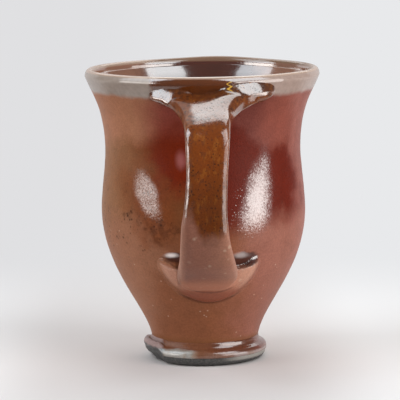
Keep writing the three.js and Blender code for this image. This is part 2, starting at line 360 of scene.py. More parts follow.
creases = {  # lines pressed round the handle's tail, darkened with painted shade
    "ring": (handleAcross, 42.4, 17, 15.4), "arcAt": (1.5, 32.3), "arcBend": 0.026,
    "grooveAt": (-10.9, 40), "grooveLean": 0.1, "faint": 0.8, "wide": ("offMiddle", 15, 11),
    "rim": (("offRing", 0.05, 0.01), ("z", 33, 29)), "arc": (("offArc", 0.5, 0.1), ("offMiddle", 11, 7)),
    "groove": (("offGroove", 1.1, 0.2), ("z", 33, 37), ("z", 49, 45)),
}
# the glint colour is a painted highlight
tailMark = {"leftPaintedGlint": 1.2, "rightPaintedGlint": 0.4, "coats": [
    ("pool", 0.85, "pools"), ("pool", 0.55, "creased"), ("glint", 0.8, "glints")]}
thread = {  # a wavy gold thread on the handle's root
    "at": 9.6, "waves": 3.4, "swing": 0.7, "ragged": 3,
    "coats": [("gold", 0.85, ("offThread", 0.6, 0.2), "threadEnds", "front")],
}
dipped = ("z", 107.6, 109.8, 2.4)  # the band below the lip that was dipped


class Ground(Finish):  # the fired surface that all the pieces share
    def __init__(self, name):
        super().__init__(name)
        drift, self.patch = (self.cloud(fire[size], 3) - 0.5 for size in ("driftSize", "patchSize"))
        self.across = self.x + drift * fire["acrossDrift"] + self.patch * fire["acrossPatch"]
        self.up = self.z + drift * fire["upDrift"] + self.patch * fire["upPatch"]
        self.offMiddle = abs(self.x - handleAcross)
        self.left, self.right, self.front = (self.fade(*fire[side]) for side in ("left", "right", "front"))
        self.fine = self.cloud(fire["grainSize"])
        self.relief = self.fine * fire["grainDeep"] + self.cloud(fire["pitSize"]) * fire["pitDeep"]

    def fade(self, field, none, full, ragged=0):  # a field is an attribute, or a method with its values
        value = getattr(self, field[0])(*field[1:]) if isinstance(field, tuple) else getattr(self, field)
        return self.rise(value + self.patch * ragged if ragged else value, none, full)

    def share(self, fade):
        if isinstance(fade, tuple):
            return self.fade(*fade)
        return self.spot(fade) if fade in spots else getattr(self, fade)

    def where(self, *fades):  # full only where all the fades are
        first, *others = (self.share(fade) for fade in fades)
        return math.prod(others, start=first)

    def coat(self, colour, coats):
        for name, strength, *fades in coats:
            colour = self.mix(self.where(*fades) * strength, colour, name)
        return colour

    def dulled(self, gloss, patches):  # each patch is its strength and its fades
        for strength, *fades in patches:
            gloss = gloss * (1 - self.where(*fades) * strength)
        return gloss

    def oval(self, across, height, wide, tall, lean=0.0, narrow=0.0):  # 1 on its line, less inside
        z = self.z - height
        x = self.x - across - z * lean if lean else self.x - across
        x = x * (z * narrow + 1) if narrow else x
        return ((x * x) * (1 / wide ** 2) + (z * z) * (1 / tall ** 2)) ** 0.5

    def spot(self, name):
        shape, edge, bent = spots[name][:4], spots[name][4:7], spots[name][7:]
        return self.fade(("oval", *shape, *bent), *edge)

    def sided(self, pair):  # one value for the left side, one for the right
        return self.left * pair[0] + self.right * pair[1]

    def grained(self, colour, grain):
        return self.shade(colour, grain[0] + self.fine * grain[1])

    def flashing(self):  # red at mid height, tan on the left, pink and brown below, darker red by the strap as dark flashing with painted shade
        low = fire["low"] - self.up + self.sided(fire["lowLift"])
        self.low = self.rise(low * (self.sided(fire["lowCrisp"]) + 1), *fire["lowFade"])
        # painted shade beside the strap: the dark middle red reaches higher there and the top red is darker
        strapShade = self.where(*fire["strapShade"]) * fire["strapShadeLift"]
        high = self.up - fire["high"] + self.sided(fire["highDrop"]) - strapShade
        high = self.rise(high * (self.sided(fire["highCrisp"]) + 1), *fire["highFade"])
        self.rusty = self.across + self.fade(*fire["rustUp"]) * fire["rustLean"]
        middle, top = self.coat("deepRed", fire["middle"]), self.coat("upperRedShaded", fire["top"])
        colour = self.mix(self.low, self.mix(high, middle, top), self.coat("lowerBrown", fire["bottom"]))
        least, added = fire["grain"]
        light = least + self.fine * added + self.patch * fire["patchy"]
        return self.shade(self.coat(colour, fire["marks"]), light)

    def lavender(self):
        return self.mix(self.right, "lavender", "lavenderPink")

    def shine(self):  # glassy patches left and right of the handle
        soft = (self.spot("leftShine") * glass["left"] + self.where(*glass["right"])) * self.front
        grain = (self.fine - 0.5) * self.rise(soft, *glass["grainIn"]) * (1 - soft * glass["grainCalm"])
        grain = grain * (1 + self.fade(*glass["grainRight"])) * glass["grain"]
        grainy = self.rise(soft + grain, *glass["grainy"]) * (1 - glass["soft"])
        return soft * glass["soft"] + grainy + self.where(*glass["sparks"]) * (1 - soft) * glass["spark"]

    def crease(self):
        (arcAcross, arcHeight), (grooveAcross, grooveHeight) = creases["arcAt"], creases["grooveAt"]
        aside = self.x - arcAcross
        self.offRing = abs(self.oval(*creases["ring"]) - 1)
        self.offArc = abs(self.z - arcHeight - aside * aside * creases["arcBend"])
        self.offGroove = abs(self.x - grooveAcross + (self.z - grooveHeight) * creases["grooveLean"])
        rim, arc, groove = (self.where(*creases[line]) for line in ("rim", "arc", "groove"))
        curved = (rim + arc * creases["faint"]) * self.fade(*creases["wide"])
        return (curved + groove * creases["faint"]) * self.front

    def tailMarks(self, colour):  # dark pooled glaze with painted shade in the pockets, painted shade along the creases and painted highlights, between tail and wall
        self.pools = (self.spot("leftShadedPool") + self.spot("rightShadedPool")) * self.front
        left, right = (self.spot(side) * tailMark[side] for side in ("leftPaintedGlint", "rightPaintedGlint"))
        self.creased, self.glints = self.crease(), (left + right) * self.front
        return self.coat(colour, tailMark["coats"])

    def goldThread(self, colour):
        swing = self.add("ShaderNodeMath", {"operation": "SINE"}, {0: self.z * thread["waves"]})
        line = self.x - thread["at"] - swing * thread["swing"] - self.patch * thread["ragged"]
        self.offThread = abs(line)
        return self.coat(colour, thread["coats"])


# rose over the flash spot is a painted reflection
clayLook = {"coats": [("rust", 0.8, ("z", 12, 8.6)), ("rose", 0.5, "flash", "front")], "poolGloss": 0.12}


def clayFinish():
    clay = Ground("firedClay")
    colour = clay.mix(clay.fade(*dipped), clay.flashing(), clay.lavender())
    colour = clay.tailMarks(clay.coat(colour, clayLook["coats"]))
    return clay.close(colour, clay.relief, clay.shine() + clay.pools * clayLook["poolGloss"], glassy)


bandLook = {
    "cloudSize": 1.6, "cloud": (0.8, 0.4), "rootCloud": 3, "relief": 0.7,
    "root": (("offMiddle", 23.5, 20.5, 3), ("z", 106.5, 108.5), "front"),
    "inner": ((("offAxis",), 44.7, 44.1), ("z", 110.6, 111.4)),
    # linerSide is painted light on the shaded inner sides
    "sides": [("linerSide", 1, ("offMiddle", 17, 30))],
    "crest": (115.8, 116.4), "innerRise": 0.5, "back": [("crestBack", 1, ("y", -10, 20), ("x", -25, -15))],
    "glazed": ("z", 107, 110, 2.4), "gloss": 0.36, "rootGloss": 0.5, "dull": [(0.75, ("x", -20, -25))],
}


def bandFinish():
    look, glaze = bandLook, Ground("rimGlaze")
    least, added = look["cloud"]
    lavender = glaze.shade(glaze.lavender(), least + glaze.cloud(look["cloudSize"], 3) * added)
    colour = glaze.mix(glaze.fade(*dipped), glaze.flashing(), lavender)
    root, inner = glaze.where(*look["root"]), glaze.where(*look["inner"])
    colour = glaze.mix(root, colour, glaze.mix(glaze.cloud(look["rootCloud"], 3), "amberDark", "amber"))
    colour = glaze.mix(inner, colour, glaze.coat("linerRed", look["sides"]))
    crested = glaze.rise(glaze.z + inner * look["innerRise"], *look["crest"])
    colour = glaze.goldThread(glaze.mix(crested, colour, glaze.coat("crest", look["back"])))
    wet = glaze.dulled(inner * (1 - crested), look["dull"])
    gloss = glaze.fade(*look["glazed"]) * (look["gloss"] + root * look["rootGloss"]) * (1 - wet) + wet
    return glaze.close(colour, glaze.relief * look["relief"], gloss, thickGlaze)


linerLook = {
    # linerSide is painted light on the shaded inner sides
    "cloud": 8, "sides": [("linerSide", 1, ("offMiddle", 17, 30, 8))], "grain": (0.8, 0.4), "relief": 0.2,
    "dull": [(0.22, ("x", 6, 16)), (0.35, ("z", 112, 107.5))],
}


def linerFinish():
    look, glaze = linerLook, Ground("linerGlaze")
    colour = glaze.mix(glaze.cloud(look["cloud"], 3), "liner", "linerRed")
    colour = glaze.grained(glaze.coat(colour, look["sides"]), look["grain"])
    return glaze.close(colour, glaze.relief * look["relief"], glaze.dulled(1.0, look["dull"]), linerGlass)


footLook = {"relief": 2, "coats": [
    ("charPale", 1, ("fine", 0.35, 0.7)), ("silver", 1, ("x", 4, 15, 6), ("z", 1.5, 2.5)),
    ("rust", 1, ("z", 5.6, 7))]}


def footFinish():
    clay = Ground("bareFoot")
    return clay.close(clay.coat("char", footLook["coats"]), clay.relief * footLook["relief"], 0.0, glassy)


beadLook = {
    "pink": [("silverPink", 1, ("x", 2, 12))], "specks": (("cloud", 4, 3), 0.54, 0.72), "amber": (0.4, 0.6),
    "runs": [
        ("footMauve", 1, ("x", 16, 20), ("z", 4.6, 5.6)),
        ("footBrown", 0.75, ("x", 3, 9, 5), ("z", 4.3, 5.3, 1)),
        ("mugBrown", 0.9, ("x", -6.5, -2.5, 6), ("x", 12.5, 8.5, 6))],
    "sag": ("x", -4, 8), "sagBy": 1.3, "fillet": (("sagging", 6.1, 6.9, 1.5), ("x", 21, 17)),
    "wet": ("x", -2, 7), "flange": ("x", -16.4, -17.8), "lilac": [("footLilac", 1, ("z", 6.2, 7.2, 2))],
    "gloss": 0.4, "dryFillet": 0.35, "wetFillet": 0.55, "grain": (0.7, 0.6), "relief": 1.6,
}


def beadFinish():  # runny ash: silver in front, lilac and mauve at the sides
    look, glaze = beadLook, Ground("footGlaze")
    amber = glaze.fade(*look["specks"]) * look["amber"][0] + glaze.spot("footSpot") * look["amber"][1]
    colour = glaze.mix(amber, glaze.coat("silver", look["pink"]), "footAmber")
    glaze.sagging = glaze.z + glaze.fade(*look["sag"]) * look["sagBy"]
    fillet, wet = glaze.where(*look["fillet"]), glaze.fade(*look["wet"])
    colour = glaze.mix(fillet, glaze.coat(colour, look["runs"]), glaze.mix(wet, "mugBrown", "footBrown"))
    colour = glaze.mix(glaze.fade(*look["flange"]), colour, glaze.coat("char", look["lilac"]))
    gloss = look["gloss"] - fillet * look["dryFillet"] + fillet * wet * look["wetFillet"]
    return glaze.close(glaze.grained(colour, look["grain"]), glaze.relief * look["relief"], gloss, thickGlaze)


tailLook = {
    # chinTan is painted light on the downward-facing chin
    "bare": [("tailTan", 1, ("x", -4, 10, 6)), ("chinTan", 0.85, ("z", 43, 36))],
    "wings": ("offMiddle", 8.5, 13.5), "wing": [("wingRight", 1, ("x", -6, 8))],
    "blisters": [("ash", 0.35, (("cells", 4.6), 0.24, 0.1), (("cloud", 7), 0.4, 0.55))],
}


def tailColour(skin):  # thin ash over bare clay at the handle's foot, with painted light under the chin
    bare, wing = skin.coat("mauve", tailLook["bare"]), skin.coat("wingLeft", tailLook["wing"])
    return skin.coat(skin.mix(skin.fade(*tailLook["wings"]), bare, wing), tailLook["blisters"])


strapLook = {
    "speck": ((("cells", 1.15), 0.36, 0.16, 0.6), (("cloud", 3.5), 0.34, 0.54)),
    "amber": [
        ("amberDark", 1, ("z", 107, 113)), ("honey", 0.45, (("cloud", (2.4, 2.4, 5.0), 4, 0.65), 0.5, 0.66)),
        ("amberDark", 0.5, (("cloud", (1.4, 1.4, 2.4), 3), 0.54, 0.66)),
        ("iron", 0.6, (("cells", 2.3), 0.4, 0.2, 0.8), ("z", 97, 104)), ("iron", 0.75, "speck")],
    "deep": 0.78, "paler": ("z", 67, 92), "palerBy": 0.44, "root": ("z", 97, 104), "rootBy": 0.22,
    "thinLeft": ("x", -1, -7), "thinLeftBy": 10, "thinRight": ("x", 3, 9), "thinRightBy": 6,
    "drop": 2.4, "tail": ("glazeEnd", 65, 57, 9), "relief": 0.8,
    # painted shade darkens the creases and the hollow edges; the pale ridges are glaze broken thin
    "edges": [
        ("pool", 0.45, "creased"), ("bareEdge", 0.75, ("edge", 0.05, 0.22)),
        ("pool", 0.8, ("edge", -0.06, -0.3))],
}
strapGloss = {
    "patchSize": (1.4, 1.4, 3.2), "wholeRoot": ("z", 92, 103), "wholeBy": 0.7, "whole": ("whole", 0.36, 0.6),
    "ridge": (("edge", 0.04, 0.14), ("z", 100, 96)), "leftEnd": ("z", 80, 74), "leftDull": 0.7,
    "faceRagged": 16, "stripeAt": -8.6, "stripeRagged": 4, "least": 0.2, "added": 0.7,
    "breaks": [
        (0.5, "speck"), (0.8, ("faceEnd", 104, 98), ("offMiddle", 7.5, 5.5)), (0.85, "dullWeb"),
        (1, "ridge", ("x", 2, -4), "leftDull"), (0.7, "ridge", (("cloud", (1.3, 1.3, 3.6)), 0.56, 0.44))],
    "dull": [(0.9, "tail"), (0.85, ("offStripe", 5.0, 2.4), ("z", 98, 101))],
}


def strapFinish():  # amber glaze that thins out and turns mauve towards the tail
    look, glaze = strapLook, Ground("amberGlaze")
    glaze.speck, glaze.edge = glaze.where(*look["speck"]), glaze.stored("edge")
    glaze.creased = glaze.crease()
    paler = glaze.fade(*look["paler"]) * look["palerBy"] - glaze.fade(*look["root"]) * look["rootBy"]
    amber = glaze.shade(glaze.coat("amber", look["amber"]), look["deep"] + paler)
    left, right = (glaze.fade(*look[side]) * look[side + "By"] for side in ("thinLeft", "thinRight"))
    glaze.glazeEnd = glaze.z + look["drop"] - (left + right)
    glaze.tail = glaze.fade(*look["tail"])
    colour = glaze.goldThread(glaze.mix(glaze.tail, amber, tailColour(glaze)))
    colour = glaze.grained(glaze.coat(colour, look["edges"]), fire["grain"])
    return glaze.close(colour, glaze.relief * look["relief"], strapShine(glaze), thickGlaze)


def strapShine(glaze):  # whole at the root, broken along the ridges, dull at the tail
    look = strapGloss
    glaze.whole = glaze.cloud(look["patchSize"], 3) + glaze.fade(*look["wholeRoot"]) * look["wholeBy"]
    glaze.faceEnd = glaze.z + (glaze.fine - 0.5) * look["faceRagged"]
    glaze.ridge = glaze.where(*look["ridge"])
    glaze.leftDull = look["leftDull"] + glaze.fade(*look["leftEnd"]) * (1 - look["leftDull"])
    glaze.offStripe = abs(glaze.x - look["stripeAt"] + glaze.patch * look["stripeRagged"])
    broken = glaze.dulled(glaze.fade(*look["whole"]), look["breaks"])
    return glaze.dulled(look["least"] + broken * look["added"], look["dull"])


coilLook = {
    "rolled": (("stand", 0.4, 4.6), ("z", 28, 39, 4)), "gloss": 0.06, "poolGloss": 0.9, "relief": 0.8,
    # painted shade darkens the hollow edges of the coil
    "coats": [
        ("ledge", 1, ("offMiddle", 14, 9), ("z", 35, 31), ("stand", 0.6, 2.4)),
        ("bareEdge", 0.5, ("edge", 0.05, 0.2)), ("pool", 0.35, ("edge", -0.03, -0.2))],
}


def coilFinish():
    look, clay = coilLook, Ground("coilClay")
    clay.stand, clay.edge = clay.stored("stand"), clay.stored("edge")
    colour = clay.mix(clay.where(*look["rolled"]), clay.flashing(), tailColour(clay))
    colour = clay.grained(clay.tailMarks(clay.coat(colour, look["coats"])), fire["grain"])
    gloss = look["gloss"] + clay.pools * look["poolGloss"]
    return clay.close(colour, clay.relief * look["relief"], gloss, glassy)


cup = turn([upright(0, wall["neck"][1])] + outside + lip + inside[::-1])
handThrown(cup)
setPiece("cupWall", cup, clayFinish(), "flashed_clay", "cup_body")

coats = {
    "liner": 0.3, "band": 0.34, "under": 0.5,  # above the clay, and hidden in it
    "bandBottom": 102.0, "feather": 9.0, "tuck": 0.08, "bandInside": 4, "featherInside": 3,
}
linerSeat = inside[::-1]
linerTop = offsetLine(linerSeat, coats["liner"])
linerBack = offsetLine(linerSeat, -coats["under"])[::-1]
linerTop[-1].x = linerBack[0].x = 0
liner = turn(linerTop + linerBack + [linerTop[0]])
handThrown(liner)
setPiece("linerCoat", liner, linerFinish(), "liner_glaze", "liner_glaze")

bandSeat = [p for p in outside if p.z > coats["bandBottom"]] + lip + inside[-coats["bandInside"]:][::-1]


def bandCoat(i):  # thins out below the lip, inside and out
    fromBottom = (bandSeat[i].z - coats["bandBottom"]) / coats["feather"]
    fromInside = (len(bandSeat) - 1 - i) / coats["featherInside"]
    return (coats["band"] + coats["tuck"]) * min(1, fromBottom, fromInside) - coats["tuck"]


band = turn(offsetLine(bandSeat, bandCoat) + offsetLine(bandSeat, -coats["under"])[::-1], closed=True)
handThrown(band)
setPiece("rimBand", band, bandFinish(), "rim_glaze", "rim_glaze")

foot = {
    "flat": 20.4, "flange": 24.2, "under": 2.6, "rings": (0, 8, 16), "curlSteps": 10,
    "side": ((24.35, 3.2), (24.3, 3.9), (24.0, 4.8), (23.3, 5.7), (22.3, 6.2), (21.6, 6.8), (21.2, 7.6),
             (21.0, 8.4), (0, 8.4)),
    "bead": ((24.2, 3.3), (24.62, 3.6), (24.75, 4.3), (24.6, 5.1), (24.1, 5.9), (23.3, 6.4), (22.5, 6.7),
             (21.95, 7.1), (21.68, 7.7), (21.56, 8.5), (21.45, 9.4), (21.1, 9.2), (21.2, 8.0), (21.6, 6.6),
             (22.6, 5.6), (23.4, 4.6)),
    "lift": 2.2, "liftFrom": 44.0, "liftTo": 128.0,  # the flange curls up left of the handle, in degrees
    "liftGrow": 9, "liftFade": 40, "liftInside": 19.5, "liftWide": 3.5, "filletFrom": 6.5, "filletLift": 0.45,
}
quarter = [math.pi / 2 * i / foot["curlSteps"] for i in range(foot["curlSteps"] + 1)]
flare = foot["flange"] - foot["flat"]
curl = [upright(foot["flat"] + flare * math.sin(t), foot["under"] * (1 - math.cos(t))) for t in quarter]


def footCurl(point):  # how far the flange's curl lifts a point
    left = -bearing(point)
    grown = limit((left - foot["liftFrom"]) / foot["liftGrow"])
    grown *= limit((foot["liftTo"] - left) / foot["liftFade"])
    edge = limit((point.xy.length - foot["liftInside"]) / foot["liftWide"])
    fillet = foot["filletLift"] if point.z > foot["filletFrom"] else 1
    return foot["lift"] * eased(grown) * eased(edge) * fillet


def warpFoot(bm):
    for vert in bm.verts:
        vert.co.z += footCurl(vert.co)


disc = turn([upright(ring, 0) for ring in foot["rings"]] + curl + [upright(*point) for point in foot["side"]])
warpFoot(disc)
setPiece("footDisc", disc, footFinish(), "bare_clay", "foot_disc")

bead = turn([upright(*point) for point in foot["bead"]], closed=True)
warpFoot(bead)
setPiece("footBead", bead, beadFinish(), "ash_glaze", "foot_glaze")

# Stations: reach, height, half width, thickness above, sideways, fullness, smile, thickness below, skew
strap = {
    "stations": [
        (34.0, 105.0, 23.0, 5.4, 1.6, 2.8, 3.6, 1.6, 0), (40.2, 104.8, 21.9, 5.4, 1.6, 2.7, 3.8, 1.6, 0.8),
        (44.0, 105.2, 18.4, 5.4, 1.5, 2.5, 2.4, 2.2, 1.8), (48.6, 104.6, 13.6, 5.2, 1.0, 2.4, 1.2, 3.2, 2.4),
        (56.6, 102.6, 9.9, 3.9, 0.5, 2.6, 0, 3.8, 1.6), (64.8, 99.5, 8.8, 3.4, 0.4, 3.4, 0, 3.4, 0.4),
        (69.2, 94.6, 8.4, 3.2, 0.3, 3.8, 0, 3.2, 0), (71.9, 81.5, 7.8, 3.2, -0.1, 3.8, 0, 3.2, 0),
        (73.2, 70.0, 8.1, 3.2, -0.8, 3.8, 0, 3.2, 0), (73.6, 63.6, 8.8, 3.2, -1.15, 3.6, 0, 3.2, 0),
        (72.4, 57.6, 9.3, 3.2, -1.0, 3.4, 0, 3.2, 0), (67.4, 49.6, 10.4, 3.3, -0.3, 3.2, 0, 3.3, 0),
        (56.5, 43.0, 11.5, 3.4, 0.0, 3.0, 0, 3.4, 0), (45.0, 39.0, 10.9, 3.6, -0.1, 2.8, 0, 3.6, 0),
        (36.3, 36.2, 9.6, 3.8, 0.0, 2.6, 0, 3.8, 0), (29.0, 34.4, 8.0, 3.8, 0.2, 2.4, 0, 3.8, 0)],
    "perRun": 7, "sides": 64,
    "faceSink": 0.35, "sinkWide": 0.72, "skewFull": 0.4,  # hollow of the outer face, and its fuller side
}
bib = {  # clay smeared on the wall round the tail
    "across": handleAcross, "height": 42.4, "halfSpan": 19.0, "below": 15.1, "above": 1.6, "proud": 6.4,
    "fullness": 0.72,  # lower is steeper at the edge
    "pocket": 4.1, "pocketAt": 12.0, "pocketWide": 6.0, "tipRise": 1.8, "lean": 0.0, "taper": 0.28,
}
rightRun = {  # glaze gathered between the web and the lip
    "across": 16.5, "height": 111.0, "halfSpan": 10.5, "below": 5.0, "above": 4.4, "proud": 7.0,
    "fullness": 0.8,
    "pocket": 0.0, "pocketAt": 0.0, "pocketWide": 1.0, "tipRise": 0.0, "lean": 0.95, "taper": 0.0,
}
leftRun = {
    **rightRun, "across": -13.0, "height": 109.6, "halfSpan": 8.0, "below": 3.4, "above": 3.0, "proud": 6.0}
lumpMake = {"around": 96, "rings": 64, "bed": 3, "taperBend": 1.2, "tipBend": 4, "tipFade": 1.5}
seat = {"from": 20, "backTo": 113, "depth": 3, "halfAngle": 42, "steps": 48}  # the wall behind the clay
press = {"voxel": 0.42, "bury": 0.28, "near": 0.12, "stroke": 0.5, "allOver": 3, "softer": 14}


def flowing(points, perRun):  # a smooth run through the points
    line = []
    last = len(points) - 1
    for i in range(last):
        before, start, end, after = (points[min(max(i + k, 0), last)] for k in (-1, 0, 1, 2))
        run = interpolate_bezier(start, start + (end - before) / 6, end - (after - start) / 6, end, perRun)
        line += run[1 if line else 0:]
    return line


def squared(share, fullness):
    return math.copysign(abs(share) ** (2 / fullness), share)


def pulledBar(line, sizes, curls, settings):  # a strap drawn out along a line
    bm = bmesh.new()
    ring = bmesh.ops.create_circle(bm, cap_ends=True, segments=settings["sides"], radius=1)["verts"]
    edges = bm.edges[:]
    across, last = Vector((1, 0, 0)), len(line) - 1
    for i, (middle, size, bend) in enumerate(zip(line, sizes, curls)):
        along = (line[min(i + 1, last)] - line[max(i - 1, 0)]).normalized()
        out = along.cross(across).normalized()
        upcoming = []
        if i < last:
            made = bmesh.ops.extrude_edge_only(bm, edges=edges)["geom"]
            upcoming = [g for g in made if isinstance(g, bmesh.types.BMVert)]
            fresh = set(upcoming)
            edges = [g for g in made if isinstance(g, bmesh.types.BMEdge) and fresh.issuperset(g.verts)]
        for vert in ring:
            full = size.z + max(0, math.copysign(bend.z, vert.co.x)) * settings["skewFull"]
            u, v = squared(vert.co.x, full), squared(vert.co.y, full)
            sink = settings["faceSink"] * max(0, 1 - (u / settings["sinkWide"]) ** 2) ** 2 if v > 0 else 0
            lift = v * (size.y if v > 0 else bend.y) - sink + bend.x * u * u
            vert.co = middle + across * (u * size.x) + out * (lift + bend.z * u * (1 - u * u) * max(v, 0))
        ring = upcoming or ring
    bmesh.ops.holes_fill(bm, edges=bm.edges[:], sides=settings["sides"])
    bmesh.ops.recalc_face_normals(bm, faces=bm.faces[:])
    return bm


strapPath = flowing([Vector((s[4], -s[0], s[1])) for s in strap["stations"]], strap["perRun"])
strapSizes = flowing([Vector((s[2], s[3], s[5])) for s in strap["stations"]], strap["perRun"])
strapCurls = flowing([Vector((s[6], s[7], s[8])) for s in strap["stations"]], strap["perRun"])
strapBar = pulledBar(strapPath, strapSizes, strapCurls, strap)


def onWall(across, height, proud):
    out = Vector((across, -math.sqrt(wallRadius(height) ** 2 - across ** 2), 0))
    return out + out.normalized() * proud + Vector((0, 0, height))


def wallLump(lump):  # a round lump flattened on the wall
    bm = bmesh.new()
    bmesh.ops.create_uvsphere(bm, u_segments=lumpMake["around"], v_segments=lumpMake["rings"], radius=1)
    for vert in bm.verts:
        side, out, up = vert.co.x, -vert.co.y, vert.co.z
        taper = lump["taper"] * max(0, -up) ** lumpMake["taperBend"]
        across = lump["across"] + side * lump["halfSpan"] * (1 - taper)
        pocket = math.exp(-((abs(side) * lump["halfSpan"] - lump["pocketAt"]) / lump["pocketWide"]) ** 2)
        tip = lump["tipRise"] * abs(side) ** lumpMake["tipBend"] * max(0, 1 + lumpMake["tipFade"] * up)
        height = lump["height"] + tip
        height += up * (lump["below"] if up < 0 else lump["above"] - lump["pocket"] * pocket)
        proud = math.copysign(abs(out) ** lump["fullness"], out)
        proud *= lump["proud"] if out > 0 else lumpMake["bed"]
        vert.co = onWall(across, height, proud * (1 - lump["lean"] * (1 + up) / 2))
    bmesh.ops.recalc_face_normals(bm, faces=bm.faces[:])
    return bm


def wallWedge():  # the front of the wall, as a seat to press clay on
    face = [p for p in skyline if p.z > seat["from"]]
    back = [upright(p.x - seat["depth"], p.z) for p in face if p.z < seat["backTo"]][::-1]
    bm = drawLine(face + back, closed=True)
    bmesh.ops.edgeloop_fill(bm, edges=bm.edges[:])
    start = Matrix.Rotation(math.radians(-90 - seat["halfAngle"]), 3, "Z")
    bmesh.ops.rotate(bm, cent=(0, 0, 0), matrix=start, verts=bm.verts[:])
    bmesh.ops.spin(bm, geom=bm.verts[:] + bm.edges[:] + bm.faces[:], cent=(0, 0, 0), axis=(0, 0, 1),
                   dvec=(0, 0, 0), angle=math.radians(2 * seat["halfAngle"]), steps=seat["steps"])
    bmesh.ops.recalc_face_normals(bm, faces=bm.faces[:])
    return bm


def pressTogether(lumps):  # one skin over lumps of soft clay
    joined = bmesh.new()
    for lump in lumps:
        part = bpy.data.meshes.new("lump")
        lump.to_mesh(part)
        joined.from_mesh(part)
        bpy.data.meshes.remove(part)
    mesh = bpy.data.meshes.new("lumps")
    joined.to_mesh(mesh)
    joined.free()
    holder = bpy.data.objects.new("lumps", mesh)
    scene.collection.objects.link(holder)
    skin = holder.modifiers.new("skin", "REMESH")
    skin.mode, skin.voxel_size = "VOXEL", press["voxel"]
    bpy.context.view_layer.update()
    shaped = holder.evaluated_get(bpy.context.evaluated_depsgraph_get())
    bm = bmesh.new()
    bm.from_mesh(shaped.to_mesh())
    shaped.to_mesh_clear()
    bpy.data.objects.remove(holder)
    bpy.data.meshes.remove(mesh)
    return bm


softClay = [wallWedge(), strapBar, *(wallLump(settings) for settings in (bib, rightRun, leftRun))]
handle = pressTogether(softClay)
strapTree, coilTree, rightTree, leftTree = (BVHTree.FromBMesh(part) for part in softClay[1:])
for part in softClay:
    part.free()
print("clay pressed:", len(handle.faces), "faces")


def aboveWall(point):
    return point.xy.length - wallRadius(point.z)


def gap(tree, point):
    return tree.find_nearest(point)[3]


def smoothClay(bm, verts, times):
    for _ in range(times):
        bmesh.ops.smooth_vert(bm, verts=verts, factor=press["stroke"],
                              use_axis_x=True, use_axis_y=True, use_axis_z=True)


strokes = {  # how often each seam is stroked smooth
    "web": 140, "webEdge": 8, "pocket": 60, "wing": 120, "tail": 44, "ledge": 3,
    "softJoin": 30, "crispJoin": 1,
}
seamAt = {  # where the seams lie, and how near to them their points are
    "upper": 0.1, "middle": 1, "webFrom": 92, "webTop": 105, "webOff": 6, "webNear": 4,
    "tailTo": 60, "pocketFrom": 40, "pocketOff": 4, "pocketNear": 3, "wingOff": 4.4, "wingNear": 4.0,
    "wingSide": 8, "tailNear": 2.0, "ledgeTo": 31, "ledgeSide": 13, "joinNear": 2.2, "softFrom": 6,
}


def webSeam(point, offWall, upper):
    trees = (strapTree, rightTree, leftTree)
    if offWall < seamAt["webOff"] and min(gap(tree, point) for tree in trees) < seamAt["webNear"]:
        return "web" if upper and point.z > seamAt["webTop"] else "webEdge"
    return None


def tailSeam(point, offWall, upper):
    offStrap, offCoil, side = gap(strapTree, point), gap(coilTree, point), abs(point.x - seamAt["middle"])
    pocketed = offWall < seamAt["pocketOff"] and offCoil < seamAt["pocketNear"]
    winged = offWall < seamAt["wingOff"] and offCoil < seamAt["wingNear"]
    if upper and pocketed and point.z > seamAt["pocketFrom"]:
        return "pocket"
    if not upper and winged and side > seamAt["wingSide"]:
        return "wing"
    if max(offWall, min(offStrap, offCoil)) < seamAt["tailNear"]:
        return "ledge" if point.z < seamAt["ledgeTo"] and side < seamAt["ledgeSide"] else "tail"
    if max(offStrap, offCoil) < seamAt["joinNear"]:
        return "softJoin" if point.x > seamAt["softFrom"] else "crispJoin"
    return None


handle.normal_update()
seams = {name: [] for name in strokes}
for vert in handle.verts:
    seam, offWall, upper = None, abs(aboveWall(vert.co)), vert.normal.z > seamAt["upper"]
    if vert.co.z > seamAt["webFrom"]:
        seam = webSeam(vert.co, offWall, upper)
    elif vert.co.z < seamAt["tailTo"]:
        seam = tailSeam(vert.co, offWall, upper)
    if seam:
        seams[seam].append(vert)
for name, times in strokes.items():
    smoothClay(handle, seams[name], times)
smoothClay(handle, handle.verts[:], press["allOver"])
print("seams smoothed:", {name: len(verts) for name, verts in seams.items()})

edgeMark = handle.verts.layers.float.new("edge")  # how far each point stands out of its surroundings
standMark = handle.verts.layers.float.new("stand")  # and how far off the wall
softer = handle.copy()
smoothClay(softer, softer.verts[:], press["softer"])
handle.normal_update()
for vert, soft in zip(handle.verts, softer.verts):
    vert[edgeMark] = (vert.co - soft.co).dot(vert.normal)
    vert[standMark] = aboveWall(vert.co)
softer.free()

buried = set()  # skin in the wall is sunk a little, and most of it cut away
for vert in handle.verts:
    height = aboveWall(vert.co)
    if height < press["near"]:
        buried.add(vert)
        if height > -press["bury"]:
            vert.co -= Vector((vert.co.x, vert.co.y, 0)).normalized() * (height + press["bury"])
hidden = [f for f in handle.faces if buried.issuperset(f.verts) and all(
    buried.issuperset(n.verts) for e in f.edges for n in e.link_faces)]
bmesh.ops.delete(handle, geom=hidden, context="FACES")
handle.normal_update()

coilMark = handle.faces.layers.int.new("coil")
for face in handle.faces:
    middle = face.calc_center_median()
    face[coilMark] = int(gap(coilTree, middle) < gap(strapTree, middle))
coil = handle.copy()
for bm, isCoil in ((handle, 0), (coil, 1)):
    mark = bm.faces.layers.int["coil"]
    bmesh.ops.delete(bm, geom=[f for f in bm.faces if f[mark] != isCoil], context="FACES")
setPiece("strapHandle", handle, strapFinish(), "amber_glaze", "handle_strap", "rim_web_left", "rim_web_right")
setPiece("tailCoil", coil, coilFinish(), "flashed_clay", "tail_coil")

